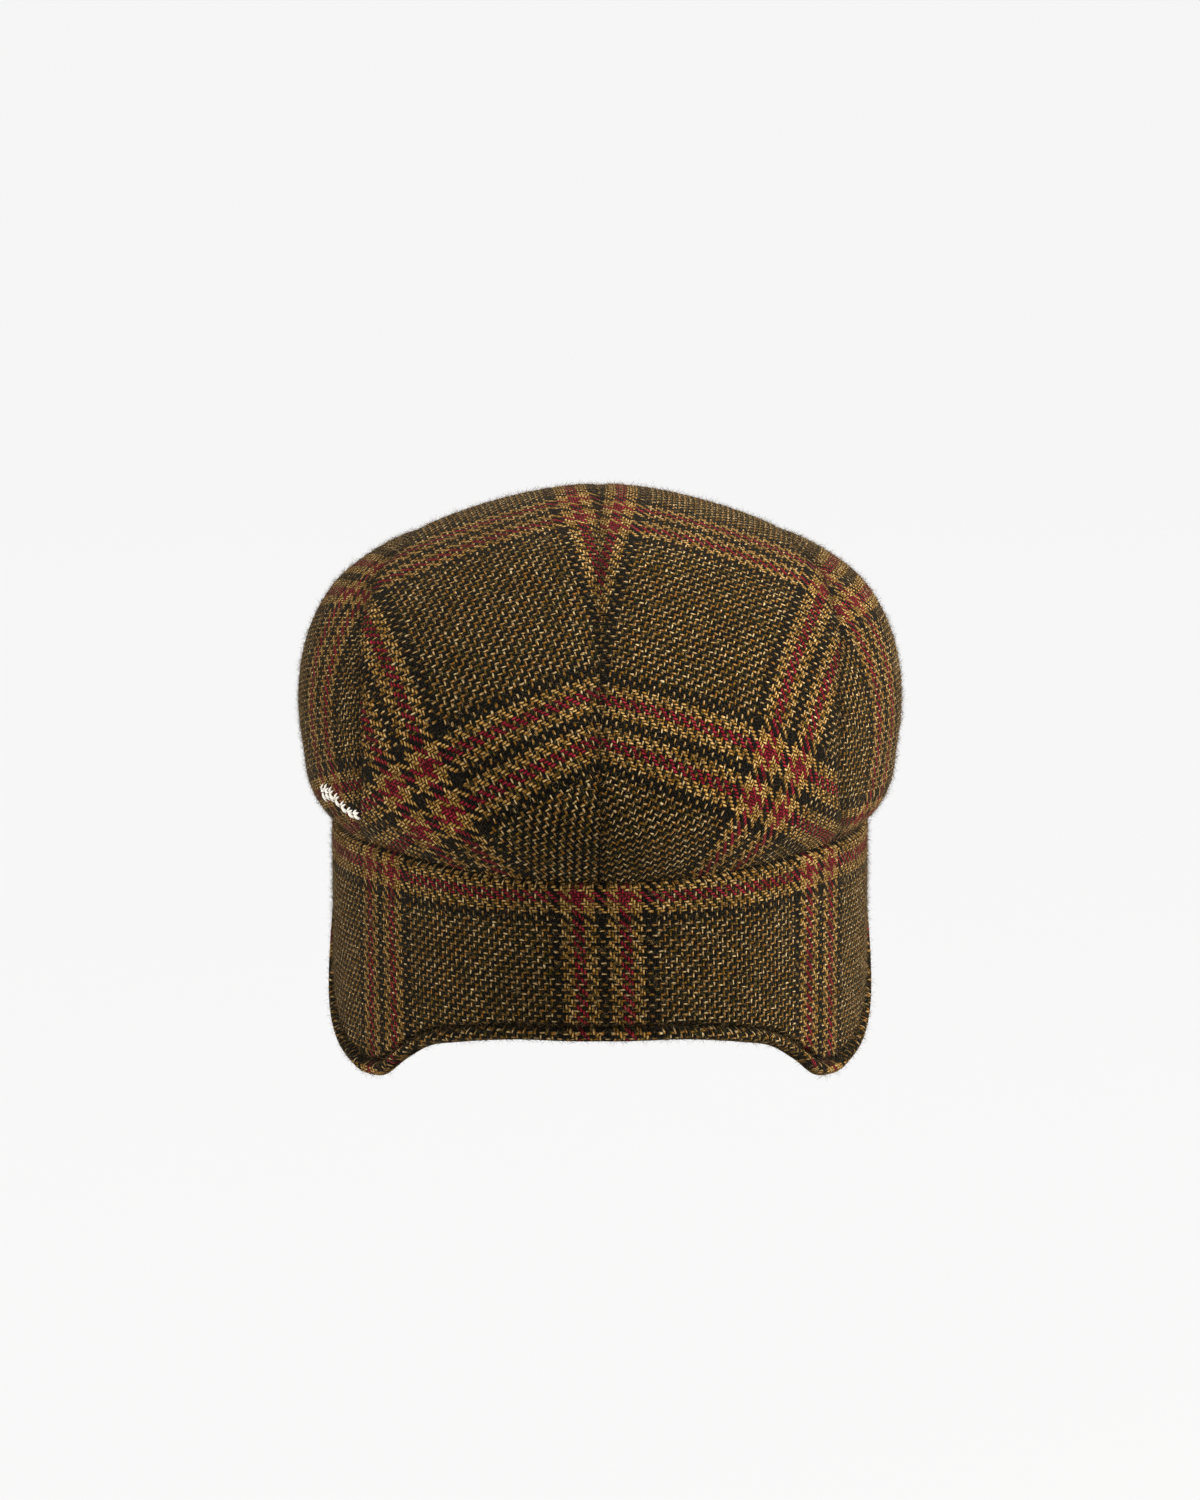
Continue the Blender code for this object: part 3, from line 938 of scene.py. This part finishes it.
def flap_piece(material):
    """A grid round and down. Along its outward direction it takes a shelf behind the crown's rim, a groove
    of exp(-x²) along the stitched line, a puff of half a sine below it and a rounded edge."""
    end = math.radians(FLAP_END_TURN) - GAP / BAND_HALF_WIDTH
    turn = np.linspace(end, -end, FLAP_COLUMNS)[:, None]
    full = FLAP_LOBE_DROP * read_rows(FLAP_EDGE, 1, np.abs(turn) / end)
    behind = np.linspace(-FLAP_INSIDE_CROWN, RIM_PART, RIM_ROWS + 1)[None, :-1] + 0 * turn
    middle = RIM_PART + (full - RIM_PART - EDGE_PART) * np.linspace(0, 1, MIDDLE_ROWS + 1)[None, :-1]
    lower = (full - EDGE_PART) + EDGE_PART * np.linspace(0, 1, EDGE_ROWS + 1)[None]
    drop = np.concatenate([behind, middle, lower], axis=1)
    place = flap_place(turn, drop)
    normal = unit(np.stack([np.sin(turn) / BAND_HALF_WIDTH, -np.cos(turn) / BAND_REAR, 0 * turn], axis=-1))
    up = full - drop
    in_groove = np.exp(-(((up - STITCH_UP) / STITCH_GROOVE_REACH) ** 2))
    puff = EDGE_PUFF * np.sin(np.clip(up / STITCH_UP, 0, 1) * math.pi)
    turned_in = EDGE_ROUND * np.clip(1 - up / EDGE_ROUND_REACH, 0, 1) ** 2
    shelf = FLAP_SHELF * (1 - ease((drop + SHELF_TOP) / SHELF_REACH))
    place = place + (puff - STITCH_GROOVE * in_groove - turned_in - shelf)[..., None] * normal
    step = np.linalg.norm(np.diff(flap_place(turn, 0 * turn)[:, 0], axis=0), axis=1)
    middle_column = FLAP_COLUMNS // 2
    round_way = np.concatenate([[0], np.cumsum(step)])
    round_way = (round_way[middle_column] - round_way)[:, None]
    lean = FLAP_GRAIN_LEAN * drop * np.cos(np.clip(turn, -1.5, 1.5)) ** 2
    across = (round_way - lean) / THREAD + MIDDLE_OF_STRIPES
    sag = FLAP_CROSS_SAG * ease(np.abs(turn) / math.radians(FLAP_SAG_TURN))
    upwards = FLAP_CROSS_START + sag - drop / THREAD
    under_rim = np.clip(1 - drop / RIM_SHADE_REACH, 0, 1)
    # Painted shade in the stitched groove and under the crown's rim
    shade = np.maximum(in_groove, RIM_SHADE * under_rim)
    threads = np.stack([across, upwards], axis=-1)
    piece = cloth_mesh("flap_cloth", place, threads, shade, FLAP_WALL)
    piece.data.materials.append(material)
    stitch_column = int(np.abs(up[middle_column] - STITCH_UP).argmin())
    flat = np.stack([round_way + 0 * drop, drop], axis=-1)
    return piece, place, stitch_column, flat


# The peak

PEAK_COLUMNS = 161
PEAK_ROWS = 41


def peak_piece(material):
    """The stiff peak: out from the band by its length at each turn, sloping down to its edge. A point at a
    distance out lies 1 + out over the band's reach times as far from the middle as the band does."""
    end = math.radians(FLAP_END_TURN)
    turn = np.linspace(2 * math.pi - end, end, PEAK_COLUMNS)[:, None]
    signed = np.where(turn > math.pi, turn - 2 * math.pi, turn)
    out = np.linspace(0, 1, PEAK_ROWS)[None] * peak_length(signed)
    spread = 1 + out / band_reach(signed)
    x = BAND_HALF_WIDTH * np.sin(turn) * spread
    y = -BAND_FRONT * np.cos(turn) * spread
    place = np.stack([x, y, -peak_drop(signed, out)], axis=-1)
    threads = np.stack([x / THREAD + MIDDLE_OF_STRIPES, y / THREAD], axis=-1)
    piece = cloth_mesh("peak_cloth", place, threads, 0 * out, PEAK_WALL)
    piece.data.materials.append(material)
    return piece, place


# The studio


def add_light(name, size, power, place, tint):
    """A square lamp that faces the middle of the cap."""
    data = bpy.data.lights.new(name, "AREA")
    data.shape = "SQUARE"
    data.size = size
    data.energy = power
    data.color = tint
    lamp = bpy.data.objects.new(name, data)
    lamp.location = place
    way = -np.array(place)
    lamp.rotation_euler = (
        math.acos(-way[2] / np.linalg.norm(way)),
        0.0,
        math.atan2(way[1], way[0]) - math.pi / 2,
    )
    bpy.context.scene.collection.objects.link(lamp)


# Name, side in metres, watts, place and tint
LAMPS = (
    ("key", 0.8, 90.0, (2.1, -0.4, 1.0), (1.0, 0.97, 0.92)),
    ("left", 0.8, 31.0, (-2.1, -0.1, 0.8), (1.0, 0.97, 0.92)),
    ("top", 1.0, 22.0, (0.4, 0.3, 1.8), (1.0, 0.98, 0.95)),
)
PAPER_TINT = colour(0.04, 0.04, 0.04)
PAPER_GLOW = 0.87
SKY = 0.50
FLOOR_BELOW = 0.60
FLOOR_RADIUS = 3.0
WALL_BEND = 1.2  # radius of the bend from floor to wall
WALL_HEIGHT = 4.5


def studio():
    """A pale round floor that bends up by a quarter circle into a wall all round, soft lamps, and the
    photo's camera."""
    world = bpy.data.worlds.new("studio")
    bpy.context.scene.world = world
    world.use_nodes = True
    world.node_tree.nodes["Background"].inputs[0].default_value = (1.0, 1.0, 1.0, 1.0)
    world.node_tree.nodes["Background"].inputs[1].default_value = SKY
    bend = np.linspace(0, math.pi / 2, 17)
    radius = np.concatenate([[0.0], FLOOR_RADIUS + WALL_BEND * np.sin(bend), [FLOOR_RADIUS + WALL_BEND]])
    height = np.concatenate([[0.0], WALL_BEND * (1 - np.cos(bend)), [WALL_HEIGHT]]) - FLOOR_BELOW
    turn = np.linspace(0, 2 * math.pi, 97)[:, None]
    surface = np.stack([radius * np.cos(turn), radius * np.sin(turn), height + 0 * turn], axis=-1)
    backdrop = cloth_mesh("backdrop", surface, surface[..., :2], 0 * surface[..., 0], turned=True)
    backdrop.data.materials.append(plain("paper", PAPER_TINT, glow=PAPER_GLOW))
    for lamp in LAMPS:
        add_light(*lamp)
    camera()


CAMERA_RISE = 14.5  # degrees above level
CAMERA_AWAY = 2.0
METRES_PER_PIXEL = 0.00031
PICTURE_HEIGHT = 1500  # pixels
SENSOR = 36.0  # millimetres for the picture's height
AIM_UP = 0.0115  # of the picture's middle above the origin


def camera():
    """The photo's camera: behind the cap, above level, and level across."""
    rise = math.radians(CAMERA_RISE)
    data = bpy.data.cameras.new("camera")
    data.sensor_width = SENSOR
    data.lens = SENSOR * (CAMERA_AWAY / METRES_PER_PIXEL) / PICTURE_HEIGHT
    data.clip_start = 0.05
    data.clip_end = 40
    view = bpy.data.objects.new("camera", data)
    up = np.array([0, math.sin(rise), math.cos(rise)])
    back = np.array([0, -math.cos(rise), math.sin(rise)])
    view.location = AIM_UP * up + CAMERA_AWAY * back
    view.rotation_euler = (math.pi / 2 - rise, 0, 0)
    bpy.context.scene.collection.objects.link(view)
    bpy.context.scene.camera = view


# Where the threads lie on each crown panel: the two rows that on_grain reads, first the lengthwise threads
# counted across, then the crosswise threads counted up. The anchors are disk points.
TOP_ANCHOR = (0.02, -0.45)
SIDE_ANCHOR = (0.95, -0.10)
TOP_RIGHT_GRAIN = (
    (33.1, 65.3, -4.0, -1.7, -6.1, -8.5),
    (55.8, 3.5, 54.5, -1.4, 1.4, 0.2),
)
TOP_LEFT_GRAIN = (
    (0.9, 62.8, 8.9, 5.3, -2.8, 5.1),
    (51.4, -9.7, 51.1, -3.1, 0.0, 0.4),
)
SIDE_RIGHT_GRAIN = (
    (57.4, 11.5, 57.5, 0.0, 0.0, 0.0),
    (-71.0, -57.5, 11.5, 0.0, 0.0, 0.0),
)
SIDE_LEFT_GRAIN = (
    (-36.5, 23.8, -57.5, 0.0, 0.0, 0.0),
    (-72.5, 57.5, 23.8, 0.0, 0.0, 0.0),
)


CLOTH_TONE = 0.40  # brightness that all yarn colours are brought to
THREAD_TINT = colour(0.012, 0.010, 0.007)
EMBROIDERY_TINT = colour(0.86, 0.82, 0.74)


def main():
    """Makes every piece, hides the CAD parts that it stands in for, hangs every piece under the root body,
    and sets up the studio.
    """
    rng = np.random.default_rng(7)
    crown_cloth = tweed("crown_tweed", CLOTH_TONE)
    flap_cloth = tweed("flap_tweed", CLOTH_TONE)
    hair_cloth = hair_wool("loose_wool")
    top_disk = top_panel_disk(*TOP_GRID)
    side_disk = side_panel_disk(*SIDE_GRID)
    top_flat = panel_flat(top_panel_disk, TOP_ANCHOR)
    side_flat = panel_flat(side_panel_disk, SIDE_ANCHOR)
    crown = []
    for name, disk, flat, grain, mirrored in (
        ("top_right", top_disk, top_flat, TOP_RIGHT_GRAIN, False),
        ("top_left", top_disk, top_flat, TOP_LEFT_GRAIN, True),
        ("side_right", side_disk, side_flat, SIDE_RIGHT_GRAIN, False),
        ("side_left", side_disk, side_flat, SIDE_LEFT_GRAIN, True),
    ):
        piece = crown_panel(name + "_cloth", disk, flat, grain, crown_cloth, mirrored)
        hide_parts("crown_" + name)
        hair_points = hairs_on(crown_surface(disk), HAIRS_PER_PIECE, rng, mirrored)
        hairs = ribbons(name + "_hairs", hair_points, hair_cloth)
        crown += [piece, hairs]
    flap, flap_surface, stitch_column, flap_flat = flap_piece(flap_cloth)
    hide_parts("ear_flap")
    below_shelf = flap_surface[:, RIM_ROWS - 1 :]
    flap_hairs = ribbons("flap_hairs", hairs_on(below_shelf, 2 * HAIRS_PER_PIECE, rng), hair_cloth)
    edge = flap_stitches(flap_surface, stitch_column, plain("sewing_thread", THREAD_TINT))
    peak, peak_surface = peak_piece(crown_cloth)
    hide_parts("peak")
    peak_hairs = ribbons("peak_hairs", hairs_on(peak_surface, HAIRS_PER_PIECE // 2, rng), hair_cloth)
    mark = sprig(plain("embroidery_thread", EMBROIDERY_TINT, 0.6))
    for piece in crown + [mark]:
        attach(piece, "root")
    for piece in (flap, flap_hairs, edge):
        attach(piece, "root")
    for piece in (peak, peak_hairs):
        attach(piece, "root")
    studio()
    bpy.context.scene.view_settings.view_transform = "Standard"


main()
